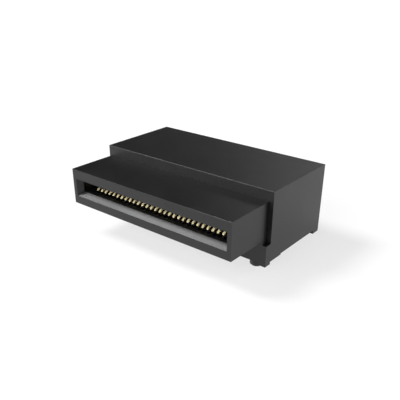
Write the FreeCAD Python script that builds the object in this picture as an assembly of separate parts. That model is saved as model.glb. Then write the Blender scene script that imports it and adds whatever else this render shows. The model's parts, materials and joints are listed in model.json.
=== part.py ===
import FreeCAD, Part
import math
import os

os.makedirs("parts", exist_ok=True)

# A right-angle surface-mount card-edge receptacle: one moulded housing, two rows of spring
# contacts, and the three carriers that are moulded round those contacts.
# Millimetres. +X runs along the contact rows, +Y from the mating face to the rear, +Z up from
# the board. The origin lies on the board, midway between the two locating pegs.

# Contact rows
pitch = 0.60
positions = 30
pairs_per_side = 4
contact_width = 0.27
contact_thickness = 0.15

# Card and card slot
card_thickness = 1.00
card_clearance = 0.05
slot_axis = 4.48
slot_depth = 5.20
slot_end_room = 0.74
lead_in_depth = 0.60
lead_in_rise = 0.40
lead_in_side = 0.44

# Nose that the mating module slides over
nose_length = 5.77
nose_cheek = 0.895
nose_roof = 1.42
nose_floor = 1.31

# Body behind the nose
side_step = 0.465
top_step = 1.05
body_depth = 9.62
side_wall = 1.15
roof_wall = 0.75
partition = 2.60
wall_standoff = 0.38
edge_radius = 0.05

# Sill across the front of the body, which carries the nose and leaves a ledge at either side of it
sill_reach = 0.745
sill_top = 2.23
sill_standoff = 0.25

# Feet that stand on the board, and pegs that enter it
foot_width = 0.55
front_foot_length = 0.87
rear_foot_length = 1.10
peg_setback = 6.35
peg_spacing = 18.00
peg_radius = 0.68
peg_length = 0.80
peg_chamfer = 0.15
peg_flare = 0.12

# Comb of channels that the contacts spring in
channel_clearance = 0.055
channel_depth = 0.98
channel_setback = 1.15

# Spring contacts
contact_wipe = 0.17
apex_setback = 2.15
apex_radius = 0.30
ramp_length = 0.33
ramp_angle = 38.0
beam_drop = 1.18
shoulder_setback = 0.40
lower_bend_setback = 0.80
upper_bend_inset = 1.50
bend_clip = 0.40
tail_clip = 0.18
lower_tail_length = 1.30
upper_tail_length = 1.85

# Carriers and the rails that locate them in the housing
carrier_gap = 0.03
carrier_standoff = 0.75
lower_carrier_depth = 1.55
upper_carrier_depth = 3.20
rear_carrier_depth = 1.40
rear_carrier_top = 4.20
rail_depth = 0.45
rail_height = 0.80
lower_rail = 1.90
upper_rail = 5.20

# Places that follow from the sizes above
nose_face = -peg_setback
step_face = nose_face + nose_length
sill_face = step_face - sill_reach
slot_back = nose_face + slot_depth
cavity_face = slot_back + partition
rear_face = step_face + body_depth

slot_height = card_thickness + 2 * card_clearance
slot_floor = slot_axis - slot_height / 2
slot_ceiling = slot_axis + slot_height / 2
nose_bottom = slot_floor - nose_floor
nose_top = slot_ceiling + nose_roof
body_top = nose_top + top_step
cavity_top = body_top - roof_wall

row_length = (positions - 1) * pitch
slot_half = row_length / 2 + slot_end_room
nose_half = slot_half + nose_cheek
body_half = nose_half + side_step
cavity_half = body_half - side_wall
carrier_half = cavity_half - carrier_gap

lower_bend = cavity_face + lower_bend_setback
upper_bend = rear_face - upper_bend_inset


def block(half_width, y0, y1, z0, z1):
    corner = FreeCAD.Vector(-half_width, y0, z0)
    return Part.makeBox(2 * half_width, y1 - y0, z1 - z0, corner)


def rounded(shape, places):
    # Rounds each edge along X that lies at one of the places, given as y and z.
    edges = []
    for y, z in places:
        middle = FreeCAD.Vector(0, y, z)
        edges += [edge for edge in shape.Edges if edge.CenterOfMass.isEqual(middle, edge_radius / 2)]
    return shape.makeFillet(edge_radius, edges)


def both_sides(shape):
    mirrored = shape.mirror(FreeCAD.Vector(0, 0, 0), FreeCAD.Vector(1, 0, 0))
    return [shape, mirrored]


def contact_places():
    return [index * pitch - row_length / 2 for index in range(positions)]


def nose():
    solid = block(nose_half, nose_face, cavity_face, nose_bottom, nose_top)
    return rounded(solid, [(nose_face, nose_bottom), (nose_face, nose_top)])


def body():
    solid = block(body_half, step_face, rear_face, wall_standoff, body_top)
    return rounded(solid, [(step_face, body_top), (rear_face, body_top)])


def sill():
    ledge = block(body_half, sill_face, cavity_face, sill_standoff, sill_top)
    web = block(nose_half, sill_face, cavity_face, sill_standoff, nose_bottom)
    return rounded(ledge, [(sill_face, sill_top)]).fuse(web)


def feet():
    inner = body_half - foot_width
    front_corner = FreeCAD.Vector(inner, sill_face, 0)
    front = Part.makeBox(foot_width, front_foot_length, sill_standoff, front_corner)
    rear_corner = FreeCAD.Vector(inner, rear_face - rear_foot_length, 0)
    rear = Part.makeBox(foot_width, rear_foot_length, wall_standoff, rear_corner)
    return both_sides(front) + both_sides(rear)


def peg():
    # Turned about its own axis: a flared root above the board, a plain shank in it and a chamfered tip.
    outline = [
        (0, sill_standoff),
        (peg_radius + peg_flare, sill_standoff),
        (peg_radius, 0),
        (peg_radius, peg_chamfer - peg_length),
        (peg_radius - peg_chamfer, -peg_length),
        (0, -peg_length),
    ]
    points = [FreeCAD.Vector(peg_spacing / 2 + radius, 0, z) for radius, z in outline]
    half_section = Part.Face(Part.makePolygon(points + points[:1]))
    axis_point = FreeCAD.Vector(peg_spacing / 2, 0, 0)
    return half_section.revolve(axis_point, FreeCAD.Vector(0, 0, 1), 360)


def card_slot():
    mouth_half = slot_half + lead_in_side
    throat = nose_face + lead_in_depth
    lead_in = Part.makeWedge(
        -mouth_half,
        nose_face,
        slot_floor - lead_in_rise,
        slot_floor,
        -slot_half,
        mouth_half,
        throat,
        slot_ceiling + lead_in_rise,
        slot_ceiling,
        slot_half,
    )
    straight = block(slot_half, throat, slot_back, slot_floor, slot_ceiling)
    return lead_in.fuse(straight)


def channels():
    # One channel to each contact, open to the slot and straight through the partition.
    width = contact_width + 2 * channel_clearance
    start = nose_face + channel_setback
    length = cavity_face - start
    tools = []
    for x in contact_places():
        for low in (slot_floor - channel_depth, slot_ceiling):
            corner = FreeCAD.Vector(x - width / 2, start, low)
            tools.append(Part.makeBox(width, length, channel_depth, corner))
    return tools


def rail(low, y0, y1, slack):
    # A bar along both cavity walls, full size for the groove and less the slack for a carrier's tongue.
    inner = cavity_half - 2 * carrier_gap
    outer = cavity_half + rail_depth - slack
    corner = FreeCAD.Vector(inner, y0, low + slack)
    bar = Part.makeBox(outer - inner, y1 - y0, rail_height - 2 * slack, corner)
    return both_sides(bar)


def housing():
    outside = nose().fuse([body(), sill()] + feet() + both_sides(peg()))
    cavity = block(cavity_half, cavity_face, rear_face, -peg_length, cavity_top)
    grooves = []
    for low in (lower_rail, upper_rail):
        grooves += rail(low, cavity_face, rear_face, 0)
    return outside.cut([card_slot(), cavity] + grooves + channels()).removeSplitter()


def side_edges(points, radii, shift):
    # The path moved sideways by the shift: straight runs that fold at each inner point, or bend there
    # where the point has a radius.
    count = len(points)
    heading = [(points[i + 1] - points[i]).normalize() for i in range(count - 1)]
    normal = [FreeCAD.Vector(0, -way.z, way.y) for way in heading]
    here = points[0] + normal[0] * shift
    edges = []
    for i in range(1, count - 1):
        turn = math.asin(heading[i - 1].y * heading[i].z - heading[i - 1].z * heading[i].y)
        if i not in radii:
            fold = points[i] + (normal[i - 1] + normal[i]) * (shift / (1 + math.cos(turn)))
            edges.append(Part.LineSegment(here, fold).toShape())
            here = fold
            continue
        hand = math.copysign(1, turn)
        reach = radii[i] * math.tan(abs(turn) / 2)
        bend_in = points[i] - heading[i - 1] * reach + normal[i - 1] * shift
        bend_out = points[i] + heading[i] * reach + normal[i] * shift
        centre = bend_in + normal[i - 1] * (hand * radii[i] - shift)
        outward = (points[i] - centre).normalize()
        crown = centre + outward * (radii[i] - hand * shift)
        edges.append(Part.LineSegment(here, bend_in).toShape())
        edges.append(Part.Arc(bend_in, crown, bend_out).toShape())
        here = bend_out
    last = points[-1] + normal[-1] * shift
    edges.append(Part.LineSegment(here, last).toShape())
    return edges


def bent_strip(points, radii):
    # A stamped strip of contact stock, bent along the path and centred on x = 0.
    left = side_edges(points, radii, contact_thickness / 2)
    right = side_edges(points, radii, -contact_thickness / 2)
    start = Part.LineSegment(left[0].Vertexes[0].Point, right[0].Vertexes[0].Point).toShape()
    end = Part.LineSegment(left[-1].Vertexes[-1].Point, right[-1].Vertexes[-1].Point).toShape()
    outline = Part.Wire(Part.__sortEdges__(left + [end] + right + [start]))
    solid = Part.Face(outline).extrude(FreeCAD.Vector(contact_width, 0, 0))
    return solid.translate(FreeCAD.Vector(-contact_width / 2, 0, 0))


def contact(side, bend, tail_length):
    # side is -1 for the lower row and 1 for the upper: the rows mirror each other about the card.
    tail_level = contact_thickness / 2
    apex_offset = card_thickness / 2 - contact_wipe + contact_thickness / 2
    apex = nose_face + apex_setback
    tip_offset = apex_offset + ramp_length * math.tan(math.radians(ramp_angle))
    beam_level = slot_axis + side * beam_drop
    path = [
        (apex - ramp_length, slot_axis + side * tip_offset),
        (apex, slot_axis + side * apex_offset),
        (slot_back + shoulder_setback, beam_level),
        (bend - bend_clip, beam_level),
        (bend, beam_level - bend_clip),
        (bend, tail_level + tail_clip),
        (bend + tail_clip, tail_level),
        (bend + tail_length, tail_level),
    ]
    return bent_strip([FreeCAD.Vector(0, y, z) for y, z in path], {1: apex_radius})


def contact_row(side, bend, tail_length):
    pattern = contact(side, bend, tail_length)
    return [pattern.translated(FreeCAD.Vector(x, 0, 0)) for x in contact_places()]


def row_nodes(row_name, row):
    # From each end of a row inwards: a ground, then a signal pair, and so on to the low-speed contacts.
    nodes = {}
    counts = {"ground": 0, "pair": 0, "low_speed": 0}
    pair_name = None
    for index, solid in enumerate(row):
        step = min(index, positions - 1 - index)
        role = "pair"
        if step > 3 * pairs_per_side:
            role = "low_speed"
        elif step % 3 == 0:
            role = "ground"
        if role == "pair" and pair_name:
            nodes[pair_name].append(solid)
            pair_name = None
            continue
        counts[role] += 1
        name = f"{row_name}_{role}_{counts[role]}"
        nodes[name] = [solid]
        if role == "pair":
            pair_name = name
    return nodes


def carrier(y0, y1, z0, z1, rail_low, row):
    # A block moulded round the contacts of one row, with a tongue for the groove on either side.
    tongues = rail(rail_low, y0, y1, carrier_gap)
    return block(carrier_half, y0, y1, z0, z1).fuse(tongues).cut(row).removeSplitter()


lower_row = contact_row(-1, lower_bend, lower_tail_length)
upper_row = contact_row(1, upper_bend, upper_tail_length)

lower_carrier = carrier(
    cavity_face,
    cavity_face + lower_carrier_depth,
    carrier_standoff,
    slot_axis - carrier_gap / 2,
    lower_rail,
    lower_row,
)
upper_carrier = carrier(
    cavity_face,
    cavity_face + upper_carrier_depth,
    slot_axis + carrier_gap / 2,
    cavity_top - carrier_gap,
    upper_rail,
    upper_row,
)
rear_carrier = carrier(
    upper_bend - rear_carrier_depth / 2,
    upper_bend + rear_carrier_depth / 2,
    carrier_standoff,
    rear_carrier_top,
    lower_rail,
    upper_row,
)

nodes = {
    "housing": [housing()],
    "lower_carrier": [lower_carrier],
    "upper_carrier": [upper_carrier],
    "rear_carrier": [rear_carrier],
}
nodes.update(row_nodes("lower", lower_row))
nodes.update(row_nodes("upper", upper_row))

for name, solids in nodes.items():
    shape = solids[0] if len(solids) == 1 else Part.makeCompound(solids)
    shape.exportStep(f"parts/{name}.step")
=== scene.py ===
import json
import math

import bmesh
import bpy
from mathutils import Matrix, Vector


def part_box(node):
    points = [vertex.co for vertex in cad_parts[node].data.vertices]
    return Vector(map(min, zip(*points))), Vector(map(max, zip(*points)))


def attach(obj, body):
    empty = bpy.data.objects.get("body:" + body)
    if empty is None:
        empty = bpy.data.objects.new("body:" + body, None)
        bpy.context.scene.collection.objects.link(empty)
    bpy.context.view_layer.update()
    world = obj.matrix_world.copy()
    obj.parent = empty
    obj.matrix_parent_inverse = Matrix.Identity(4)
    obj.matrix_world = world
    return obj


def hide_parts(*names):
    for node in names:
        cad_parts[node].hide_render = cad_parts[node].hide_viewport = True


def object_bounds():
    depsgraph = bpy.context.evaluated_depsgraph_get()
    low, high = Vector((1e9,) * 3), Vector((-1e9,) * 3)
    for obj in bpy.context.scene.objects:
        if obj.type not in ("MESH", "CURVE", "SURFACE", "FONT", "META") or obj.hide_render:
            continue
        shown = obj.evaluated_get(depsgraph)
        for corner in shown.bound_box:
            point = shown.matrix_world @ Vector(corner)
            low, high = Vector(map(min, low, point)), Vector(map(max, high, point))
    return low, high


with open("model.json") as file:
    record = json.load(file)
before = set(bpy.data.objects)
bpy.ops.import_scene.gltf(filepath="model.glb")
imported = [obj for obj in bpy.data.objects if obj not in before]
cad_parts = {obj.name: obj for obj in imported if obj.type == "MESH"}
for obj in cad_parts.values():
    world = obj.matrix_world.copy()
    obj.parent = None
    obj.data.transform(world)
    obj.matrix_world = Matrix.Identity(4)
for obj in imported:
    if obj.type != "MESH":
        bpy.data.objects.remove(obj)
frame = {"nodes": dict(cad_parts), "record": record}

mm = 0.001  # sizes in the dictionaries are in millimetres, and angles in degrees
cadLow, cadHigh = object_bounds()  # the solids' own box, before anything is dressed
print("frame: loaded", len(frame["nodes"]), "nodes")


# small helpers for meshes

def newPiece(name, bm, material, slot, *nodes):
    mesh = bpy.data.meshes.new(name)
    bm.to_mesh(mesh)
    bm.free()
    mesh.materials.append(material)
    piece = bpy.data.objects.new(name, mesh)
    bpy.context.scene.collection.objects.link(piece)
    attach(piece, "root")
    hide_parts(*nodes)
    return piece


def vertsOf(geom):
    return [item for item in geom if isinstance(item, bmesh.types.BMVert)]


def edgesOf(geom):
    return [item for item in geom if isinstance(item, bmesh.types.BMEdge)]


def cornersOf(ring):
    return list(dict.fromkeys(vert for edge in ring for vert in edge.verts))


# directions out to a lamp or the camera; azimuth 0 is the mating side, 90 is +X

def wayTo(azimuth, elevation):
    around = math.radians(azimuth)
    above = math.radians(elevation)
    flat = math.cos(above)
    return Vector((math.sin(around) * flat, -math.cos(around) * flat, math.sin(above)))


def turnTo(azimuth, elevation):
    # a lamp or camera out there, turned to look back
    return wayTo(azimuth, elevation).to_track_quat("Z", "Y").to_euler()


# small helpers for materials

def newMaterial(name):
    material = bpy.data.materials.new(name)
    material.use_nodes = True
    return material, material.node_tree, material.node_tree.nodes["Principled BSDF"]


def addNode(tree, kind, **settings):
    node = tree.nodes.new(kind)
    for key, value in settings.items():
        setattr(node, key, value)
    return node


def join(tree, source, outName, target, inName):
    tree.links.new(source.outputs[outName], target.inputs[inName])


def noise(tree, coords, detail, roughness):
    node = addNode(tree, "ShaderNodeTexNoise")
    node.inputs["Detail"].default_value = detail
    node.inputs["Roughness"].default_value = roughness
    join(tree, coords, "Object", node, "Vector")
    return node


noiseLow, noiseHigh = 0.3, 0.7  # where nearly all of a noise lies


def spread(tree, source, outName, low, high):
    # stretches a noise to the range from low to high
    node = addNode(tree, "ShaderNodeMapRange")
    node.inputs["From Min"].default_value = noiseLow
    node.inputs["From Max"].default_value = noiseHigh
    node.inputs["To Min"].default_value = low
    node.inputs["To Max"].default_value = high
    join(tree, source, outName, node, "Value")
    return node


def blendColour(tree, factor):
    node = addNode(tree, "ShaderNodeMix", data_type="RGBA")
    join(tree, factor, "Result", node, "Factor")
    return node


# moulded plastic: cloudy flow of the melt, and the fine grain of the mould's steel

mouldedNoise = {
    "flowDetail": 4.0,
    "flowRoughness": 0.6,
    "grainDetail": 3.0,
    "grainRoughness": 0.55,
}

housingFinish = {
    "dark": (0.0055, 0.0055, 0.006),
    "light": (0.0085, 0.0085, 0.009),
    "ior": 1.45,
    "roughLow": 0.36,
    "roughHigh": 0.42,
    "flowScale": 260.0,
    "grainScale": 9000.0,
    "grainStrength": 0.5,
    "grainDepth": 0.004,
}

carrierFinish = {
    "dark": (0.0085, 0.0085, 0.0085),
    "light": (0.0125, 0.0125, 0.012),
    "ior": 1.45,
    "roughLow": 0.46,
    "roughHigh": 0.56,
    "flowScale": 340.0,  # a smaller moulding, with shorter flow
    "grainScale": 9000.0,
    "grainStrength": 0.5,
    "grainDepth": 0.006,
}


def makeMouldedGroup():
    form = mouldedNoise
    group = bpy.data.node_groups.new("mouldedSurface", "ShaderNodeTree")
    face = group.interface
    for name in ("Flow Scale", "Grain Scale"):
        face.new_socket(name, in_out="INPUT", socket_type="NodeSocketFloat")
    for name in ("Flow", "Grain"):
        face.new_socket(name, in_out="OUTPUT", socket_type="NodeSocketFloat")
    given = addNode(group, "NodeGroupInput")
    out = addNode(group, "NodeGroupOutput")
    coords = addNode(group, "ShaderNodeTexCoord")
    flow = noise(group, coords, form["flowDetail"], form["flowRoughness"])
    grain = noise(group, coords, form["grainDetail"], form["grainRoughness"])
    join(group, given, "Flow Scale", flow, "Scale")
    join(group, given, "Grain Scale", grain, "Scale")
    join(group, flow, "Fac", out, "Flow")
    join(group, grain, "Fac", out, "Grain")
    return group


mouldedGroup = makeMouldedGroup()


def mouldedPlastic(name, finish):
    material, tree, shader = newMaterial(name)
    surface = addNode(tree, "ShaderNodeGroup", node_tree=mouldedGroup)
    surface.inputs["Flow Scale"].default_value = finish["flowScale"]
    surface.inputs["Grain Scale"].default_value = finish["grainScale"]
    tone = blendColour(tree, spread(tree, surface, "Flow", 0.0, 1.0))
    tone.inputs["A"].default_value = (*finish["dark"], 1.0)
    tone.inputs["B"].default_value = (*finish["light"], 1.0)
    join(tree, tone, "Result", shader, "Base Color")
    gloss = spread(tree, surface, "Flow", finish["roughLow"], finish["roughHigh"])
    join(tree, gloss, "Result", shader, "Roughness")
    shader.inputs["IOR"].default_value = finish["ior"]
    bump = addNode(tree, "ShaderNodeBump")
    bump.inputs["Strength"].default_value = finish["grainStrength"]
    bump.inputs["Distance"].default_value = finish["grainDepth"] * mm
    join(tree, surface, "Grain", bump, "Height")
    join(tree, bump, "Normal", shader, "Normal")
    return material


housingPlastic = mouldedPlastic("housingPlastic", housingFinish)
carrierPlastic = mouldedPlastic("carrierPlastic", carrierFinish)
print("materials: plastics made")


# plated spring metal: gold at the mating end, nickel on the beam, tin on the tail

platingForm = {
    "goldDark": (0.93, 0.835, 0.565),
    "goldLight": (0.99, 0.905, 0.635),
    "nickel": (0.56, 0.53, 0.47),
    "tin": (0.66, 0.66, 0.64),
    "goldTo": -2.6,  # Y where the nickel starts
    "tinFrom": 0.9,  # height over the board where the tin starts
    "blend": 0.3,
    "grainScale": 2500.0,
    "grainDetail": 4.0,
    "grainRoughness": 0.6,
    "roughLow": 0.67,
    "roughHigh": 0.75,
}


def zone(tree, places, axis, start, end):
    # 0 before the start, 1 past the end
    node = addNode(tree, "ShaderNodeMapRange")
    node.inputs["From Min"].default_value = start * mm
    node.inputs["From Max"].default_value = end * mm
    join(tree, places, axis, node, "Value")
    return node


def platedMetal(name):
    form = platingForm
    material, tree, shader = newMaterial(name)
    coords = addNode(tree, "ShaderNodeTexCoord")
    places = addNode(tree, "ShaderNodeSeparateXYZ")
    join(tree, coords, "Object", places, "Vector")
    grain = noise(tree, coords, form["grainDetail"], form["grainRoughness"])
    grain.inputs["Scale"].default_value = form["grainScale"]
    gold = blendColour(tree, spread(tree, grain, "Fac", 0.0, 1.0))
    gold.inputs["A"].default_value = (*form["goldDark"], 1.0)
    gold.inputs["B"].default_value = (*form["goldLight"], 1.0)
    behind = zone(tree, places, "Y", form["goldTo"], form["goldTo"] + form["blend"])
    beam = blendColour(tree, behind)
    beam.inputs["B"].default_value = (*form["nickel"], 1.0)
    join(tree, gold, "Result", beam, "A")
    below = zone(tree, places, "Z", form["tinFrom"], form["tinFrom"] - form["blend"])
    tail = blendColour(tree, below)
    tail.inputs["B"].default_value = (*form["tin"], 1.0)
    join(tree, beam, "Result", tail, "A")
    join(tree, tail, "Result", shader, "Base Color")
    shader.inputs["Metallic"].default_value = 1.0
    gloss = spread(tree, grain, "Fac", form["roughLow"], form["roughHigh"])
    join(tree, gloss, "Result", shader, "Roughness")
    return material


contactPlating = platedMetal("contactPlating")
print("materials: plating made")


# carriers keep their solids and take a finish

for name in ("lower_carrier", "upper_carrier", "rear_carrier"):
    carrier = frame["nodes"][name]
    carrier.data.materials.clear()
    carrier.data.materials.append(carrierPlastic)
print("carriers: finished")


# housing: the solid with its sharp edges just broken, as a mould leaves them

housingForm = {
    "mergeWithin": 0.0005,  # joins the solid's loose triangles
    "flatWithin": 0.5,  # and makes whole faces of them
    "edgeBreak": 0.006,
    "edgeSteps": 2,
    "sharpFrom": 40.0,  # between two faces
    "shortest": 0.20,  # edge that is broken
}


def makeHousing():
    form = housingForm
    bm = bmesh.new()
    bm.from_mesh(frame["nodes"]["housing"].data)
    bmesh.ops.remove_doubles(bm, verts=bm.verts, dist=form["mergeWithin"] * mm)
    flatWithin = math.radians(form["flatWithin"])
    bmesh.ops.dissolve_limit(bm, verts=bm.verts, edges=bm.edges, angle_limit=flatWithin)
    sharpFrom = math.radians(form["sharpFrom"])
    edges = []
    for edge in bm.edges:
        if len(edge.link_faces) != 2 or edge.calc_length() < form["shortest"] * mm:
            continue
        if edge.is_convex and edge.calc_face_angle() > sharpFrom:
            edges.append(edge)
    bmesh.ops.bevel(
        bm, geom=edges, affect="EDGES", offset=form["edgeBreak"] * mm, offset_type="OFFSET",
        segments=form["edgeSteps"], profile=0.5, material=-1, clamp_overlap=False,
    )
    newPiece("housing_moulding", bm, housingPlastic, "housing", "housing")
    print("housing: broke", len(edges), "edges")


makeHousing()


# spring contacts: coined strip, bent from the mating tip back to the solder tail

mounts = frame["record"]["mounts"]
slotAxis = next(mount["pos_m"][2] for mount in mounts if mount["name"] == "card_slot") / mm

springForm = {
    "stock": 0.15,  # thickness of the strip
    "coining": 0.035,  # rounding of its edges
    "coiningSteps": 2,
    # distance from the tip, share of the width, share of the thickness
    "tipSteps": ((0.0, 0.46, 0.50), (0.02, 0.70, 0.80), (0.05, 0.90, 1.0), (0.08, 1.0, 1.0)),
    "apexY": -4.20,  # where it touches the card
    "apexReach": 0.405,  # from the slot's middle
    "rampLength": 0.33,  # from the tip to the apex
    "rampAngle": 38.0,
    "shoulderY": -0.75,
    "beamReach": 1.18,  # from the slot's middle
    "apexRadius": 0.30,
    "shoulderRadius": 1.2,
    "bendRadius": 0.60,
    "tailRadius": 0.27,
    "bendSteps": 8,
    "sharpFrom": 40.0,  # between two faces
    "placeDigits": 6,  # of a place in metres, so that a lone contact has one place
}

contactRows = {
    "lower": {"side": -1, "bendY": 2.25},  # side of the slot, and where the leg goes down
    "upper": {"side": 1, "bendY": 7.54},
}


def springPath(row, tailEnd):
    form = springForm
    side = row["side"]
    tipReach = form["apexReach"] + form["rampLength"] * math.tan(math.radians(form["rampAngle"]))
    tailLevel = form["stock"] / 2
    corners = [
        (form["apexY"] - form["rampLength"], slotAxis + side * tipReach, 0),
        (form["apexY"], slotAxis + side * form["apexReach"], form["apexRadius"]),
        (form["shoulderY"], slotAxis + side * form["beamReach"], form["shoulderRadius"]),
        (row["bendY"], slotAxis + side * form["beamReach"], form["bendRadius"]),
        (row["bendY"], tailLevel, form["tailRadius"]),
        (tailEnd, tailLevel, 0),
    ]
    return [(Vector((0, y, z)), radius) for y, z, radius in corners]


def pushRing(bm, ring, move):
    made = bmesh.ops.extrude_edge_only(bm, edges=ring)["geom"]
    bmesh.ops.translate(bm, verts=vertsOf(made), vec=move)
    return edgesOf(made)


def bendRing(bm, ring, centre, turn, steps):
    made = bmesh.ops.spin(
        bm, geom=[*ring, *cornersOf(ring)], cent=centre, axis=(1, 0, 0), dvec=(0, 0, 0),
        angle=turn, steps=steps, use_merge=False, use_duplicate=False,
    )
    return edgesOf(made["geom_last"])


def startStrip(bm, width):
    # rounded section of the strip, widening from the narrow tip as it is pushed up
    form = springForm
    bmesh.ops.create_grid(bm, x_segments=1, y_segments=1, size=0.5)  # a square of side 1
    bmesh.ops.scale(bm, verts=bm.verts, vec=(width, form["stock"], 1))
    bmesh.ops.bevel(
        bm, geom=bm.verts[:], affect="VERTICES", offset=form["coining"], offset_type="OFFSET",
        segments=form["coiningSteps"], profile=0.5, material=-1,
    )
    bmesh.ops.delete(bm, geom=bm.faces[:], context="FACES_ONLY")
    ring = bm.edges[:]
    rise, wide, thick = 0.0, 1.0, 1.0
    for stepRise, stepWide, stepThick in form["tipSteps"]:
        if stepRise > rise:
            ring = pushRing(bm, ring, (0, 0, stepRise - rise))
        share = (stepWide / wide, stepThick / thick, 1)
        bmesh.ops.scale(bm, verts=cornersOf(ring), vec=share)
        rise, wide, thick = stepRise, stepWide, stepThick
    return ring, rise


def makeStrip(row, width, tailEnd):
    form = springForm
    bm = bmesh.new()
    ring, tipLength = startStrip(bm, width)
    path = springPath(row, tailEnd)
    heading = [(b[0] - a[0]).normalized() for a, b in zip(path, path[1:])]
    lean = math.atan2(-heading[0].y, heading[0].z)
    bmesh.ops.rotate(bm, verts=bm.verts, cent=(0, 0, 0), matrix=Matrix.Rotation(lean, 3, "X"))
    bmesh.ops.translate(bm, verts=bm.verts, vec=path[0][0])
    here = path[0][0] + heading[0] * tipLength
    for i in range(1, len(path) - 1):
        corner, radius = path[i]
        before, after = heading[i - 1], heading[i]
        turn = math.atan2(before.cross(after).x, before.dot(after))
        reach = radius * math.tan(abs(turn) / 2)
        bendStart = corner - before * reach
        ring = pushRing(bm, ring, bendStart - here)
        left = Vector((0, -before.z, before.y))
        centre = bendStart + left * math.copysign(radius, turn)
        ring = bendRing(bm, ring, centre, turn, form["bendSteps"])
        here = corner + after * reach
    pushRing(bm, ring, path[-1][0] - here)
    bmesh.ops.holes_fill(bm, edges=bm.edges)
    bmesh.ops.recalc_face_normals(bm, faces=bm.faces)
    bmesh.ops.scale(bm, verts=bm.verts, vec=(mm, mm, mm))
    mesh = bpy.data.meshes.new("strip")
    bm.to_mesh(mesh)
    bm.free()
    return mesh


def makeContacts():
    form = springForm
    digits = form["placeDigits"]
    made = 0
    for rowName, row in contactRows.items():
        low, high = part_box(rowName + "_ground_1")
        width = high.x - low.x
        strip = makeStrip(row, width / mm, high.y / mm)
        for node in frame["nodes"]:
            if not node.startswith(rowName) or node.endswith("carrier"):
                continue
            low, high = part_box(node)
            bm = bmesh.new()
            places = {round(low.x + width / 2, digits), round(high.x - width / 2, digits)}
            for x in sorted(places):
                before = set(bm.verts)
                bm.from_mesh(strip)
                added = [vert for vert in bm.verts if vert not in before]
                bmesh.ops.translate(bm, verts=added, vec=(x, 0, 0))
                made += 1
            piece = newPiece(node + "_strip", bm, contactPlating, "contact", node)
            piece.data.shade_smooth()
            piece.data.set_sharp_from_angle(angle=math.radians(form["sharpFrom"]))
        bpy.data.meshes.remove(strip)
    print("contacts: bent", made, "strips")


makeContacts()


# pale floor under the pegs, clear from below

floorForm = {
    "side": 4000.0,
    "paint": (0.30, 0.30, 0.30),
    "glow": 0.68,  # added where the floor is seen, also in a reflection, so that it is white
}


def makeFloor():
    form = floorForm
    bm = bmesh.new()
    bmesh.ops.create_grid(bm, x_segments=1, y_segments=1, size=form["side"] * mm / 2)
    bmesh.ops.translate(bm, verts=bm.verts, vec=(0, 0, cadLow.z))
    mesh = bpy.data.meshes.new("floor")
    bm.to_mesh(mesh)
    bm.free()
    floor = bpy.data.objects.new("floor", mesh)
    bpy.context.scene.collection.objects.link(floor)
    material, tree, shader = newMaterial("floorWhite")
    tree.nodes.remove(shader)
    paint = addNode(tree, "ShaderNodeBsdfDiffuse")
    paint.inputs["Color"].default_value = (*form["paint"], 1.0)
    glow = addNode(tree, "ShaderNodeEmission")
    glow.inputs["Strength"].default_value = form["glow"]
    path = addNode(tree, "ShaderNodeLightPath")
    seen = addNode(tree, "ShaderNodeMath", operation="MAXIMUM")
    join(tree, path, "Is Camera Ray", seen, 0)
    join(tree, path, "Is Glossy Ray", seen, 1)
    seenToo = addNode(tree, "ShaderNodeMath", operation="MAXIMUM")
    join(tree, seen, "Value", seenToo, 0)
    join(tree, path, "Is Transmission Ray", seenToo, 1)
    lit = addNode(tree, "ShaderNodeAddShader")
    join(tree, paint, "BSDF", lit, 0)
    join(tree, glow, "Emission", lit, 1)
    above = addNode(tree, "ShaderNodeMixShader")
    join(tree, seenToo, "Value", above, "Fac")
    join(tree, paint, "BSDF", above, 1)
    join(tree, lit, "Shader", above, 2)
    geometry = addNode(tree, "ShaderNodeNewGeometry")
    clear = addNode(tree, "ShaderNodeBsdfTransparent")
    sides = addNode(tree, "ShaderNodeMixShader")
    join(tree, geometry, "Backfacing", sides, "Fac")
    join(tree, above, "Shader", sides, 1)
    join(tree, clear, "BSDF", sides, 2)
    join(tree, sides, "Shader", tree.nodes["Material Output"], "Surface")
    mesh.materials.append(material)


makeFloor()


# soft studio light

studioLamps = {
    "keyLamp": {"azimuth": 298, "elevation": 50, "softness": 20, "level": 2.8},
    "mouthLamp": {"azimuth": 348, "elevation": 17, "softness": 60, "level": 3.2},
    "leftLamp": {"azimuth": 300, "elevation": 10, "softness": 50, "level": 0.8},
    "rearLamp": {"azimuth": 125, "elevation": 10, "softness": 60, "level": 2.5},
    "backLamp": {"azimuth": 200, "elevation": 30, "softness": 24, "level": 0.18},
    "lowLamp": {"azimuth": 220, "elevation": 7, "softness": 22, "level": 0.011},
}

for name, form in studioLamps.items():
    data = bpy.data.lights.new(name, "SUN")
    data.energy = form["level"]
    data.angle = math.radians(form["softness"])
    lamp = bpy.data.objects.new(name, data)
    lamp.rotation_euler = turnTo(form["azimuth"], form["elevation"])
    bpy.context.scene.collection.objects.link(lamp)


# a studio that is pale low down, most of all behind the camera, and dark overhead

skyForm = {
    "horizon": 0.8,
    "farShare": 0.2,  # of the horizon's level, on the side away from the camera
    "overhead": 0.012,
    "fadeTo": 0.25,  # height of a direction where the pale horizon ends
    "frontSide": 39.5,  # azimuth of the palest side
}


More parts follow.
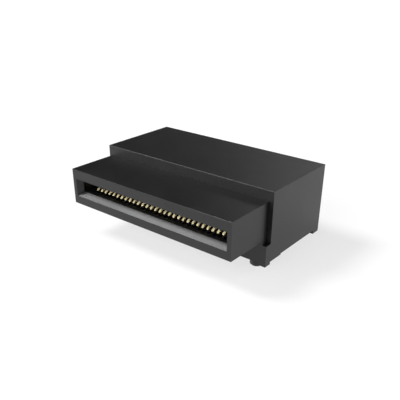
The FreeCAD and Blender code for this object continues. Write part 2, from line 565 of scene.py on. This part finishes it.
def makeSky():
    form = skyForm
    world = bpy.data.worlds.new("studio")
    bpy.context.scene.world = world
    world.use_nodes = True
    tree = world.node_tree
    coords = addNode(tree, "ShaderNodeTexCoord")
    places = addNode(tree, "ShaderNodeSeparateXYZ")
    join(tree, coords, "Object", places, "Vector")
    low = addNode(tree, "ShaderNodeMapRange")
    low.inputs["From Max"].default_value = form["fadeTo"]
    low.inputs["To Min"].default_value = 1.0
    low.inputs["To Max"].default_value = 0.0
    join(tree, places, "Z", low, "Value")
    facing = addNode(tree, "ShaderNodeVectorMath", operation="DOT_PRODUCT")
    facing.inputs[1].default_value = wayTo(form["frontSide"], 0)
    join(tree, coords, "Object", facing, 0)
    front = addNode(tree, "ShaderNodeMapRange")
    front.inputs["From Min"].default_value = -1.0
    front.inputs["To Min"].default_value = form["farShare"]
    join(tree, facing, "Value", front, "Value")
    pale = addNode(tree, "ShaderNodeMath", operation="MULTIPLY")
    join(tree, low, "Result", pale, 0)
    join(tree, front, "Result", pale, 1)
    level = addNode(tree, "ShaderNodeMapRange")
    level.inputs["To Min"].default_value = form["overhead"]
    level.inputs["To Max"].default_value = form["horizon"]
    join(tree, pale, "Value", level, "Value")
    back = tree.nodes["Background"]
    back.inputs["Color"].default_value = (1.0, 1.0, 1.0, 1.0)
    join(tree, level, "Result", back, "Strength")


makeSky()
print("light: lamps, sky and floor are set")


# camera at the photograph's viewing angle

cameraView = {
    "place": (34.374, -40.585, 26.345),
    "azimuth": 39.51,
    "elevation": 28.11,
    "lens": 49.573,
    "sensor": 36.0,
    "shiftX": 0.0163,
    "shiftY": 0.1193,
    "near": 1.0,
    "far": 20000.0,
}


def makeCamera():
    view = cameraView
    data = bpy.data.cameras.new("camera")
    data.lens = view["lens"]
    data.sensor_width = view["sensor"]
    data.shift_x = view["shiftX"]
    data.shift_y = view["shiftY"]
    data.clip_start = view["near"] * mm
    data.clip_end = view["far"] * mm
    camera = bpy.data.objects.new("camera", data)
    camera.location = Vector(view["place"]) * mm
    camera.rotation_euler = turnTo(view["azimuth"], view["elevation"])
    bpy.context.scene.collection.objects.link(camera)
    bpy.context.scene.camera = camera


makeCamera()
bpy.context.scene.view_settings.view_transform = "Standard"
print("camera: set")
